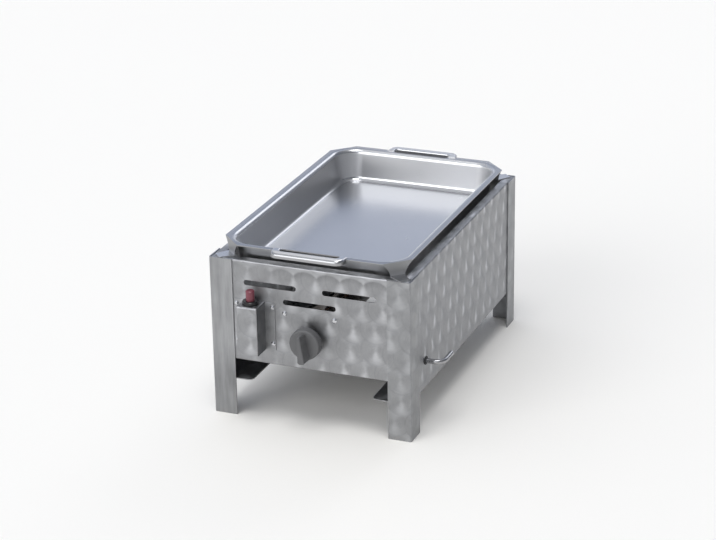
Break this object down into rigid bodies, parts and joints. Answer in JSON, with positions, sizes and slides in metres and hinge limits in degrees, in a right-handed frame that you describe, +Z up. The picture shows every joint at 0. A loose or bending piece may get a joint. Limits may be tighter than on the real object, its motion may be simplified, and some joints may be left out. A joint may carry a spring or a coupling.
{
  "type": "single-burner gas grill",
  "caption": "Table-top gas roaster: sheet-steel stand on angle legs, tube burner with control knob and push-button igniter, and a lift-off steel pan with loop handles.",
  "frame": {"origin": "on the floor, in the middle between the four legs", "axes": "+X to the right seen from the front, +Y to the back along the pan, +Z up"},
  "size_m": [0.36, 0.5585, 0.2866],
  "materials": {
    "turned_steel": "stainless sheet with overlapping engine-turned circles",
    "leg_steel": "plain brushed stainless sheet",
    "pan_steel": "satin stainless sheet",
    "knob_plastic": "matt grey",
    "button_plastic": "dark red",
    "black_plastic": "black",
    "screw_steel": "bright",
    "pipe_steel": "bright drawn tube",
    "bush_rubber": "black",
    "brass": "machined",
    "copper": "drawn copper",
    "ceramic": "glazed ceramic",
    "burner_steel": "plain sheet and tube"
  },
  "bodies": {
    "frame": {"front_panel": "turned_steel", "rear_panel": "turned_steel", "left_side_panel": "turned_steel", "right_side_panel": "turned_steel", "igniter_housing": "turned_steel", "leg_front_left": "leg_steel", "leg_front_right": "leg_steel", "leg_rear_left": "leg_steel", "leg_rear_right": "leg_steel", "igniter_collar": "black_plastic", "igniter_body": "black_plastic", "valve_screws": "screw_steel", "igniter_screws": "screw_steel", "supply_pipe": "pipe_steel", "pipe_grommet": "bush_rubber", "electrode_lead": "bush_rubber", "valve_body": "brass", "pipe_nut": "brass", "injector": "brass", "thermocouple": "copper", "thermocouple_lead": "copper", "ignition_electrode": "ceramic", "valve_bracket": "burner_steel", "burner_mixer": "burner_steel", "burner_tube": "burner_steel", "burner_end_cap": "burner_steel", "burner_support_front": "burner_steel", "burner_support_rear": "burner_steel"},
    "pan": {"pan": "pan_steel", "pan_handle_front": "pan_steel", "pan_handle_rear": "pan_steel"},
    "plunger": {"valve_plunger": "screw_steel"},
    "knob": {"control_knob": "knob_plastic", "valve_spindle": "screw_steel"},
    "button": {"igniter_button": "button_plastic"}
  },
  "joints": [
    {"name": "pan_lift", "type": "slide", "parent": "frame", "child": "pan", "axis": [0, 0, 1], "range_m": [0, 0.12]},
    {"name": "knob_push", "type": "slide", "parent": "frame", "child": "plunger", "axis": [0, 1, 0], "range_m": [0, 0.004], "stiffness_N_per_m": 1500},
    {"name": "knob_turn", "type": "hinge", "parent": "plunger", "child": "knob", "pos_m": [0, -0.2625, 0.1465], "axis": [0, -1, 0], "range_deg": [0, 210]},
    {"name": "igniter_press", "type": "slide", "parent": "frame", "child": "button", "axis": [0, 0, -1], "range_m": [0, 0.008], "stiffness_N_per_m": 1000}
  ]
}
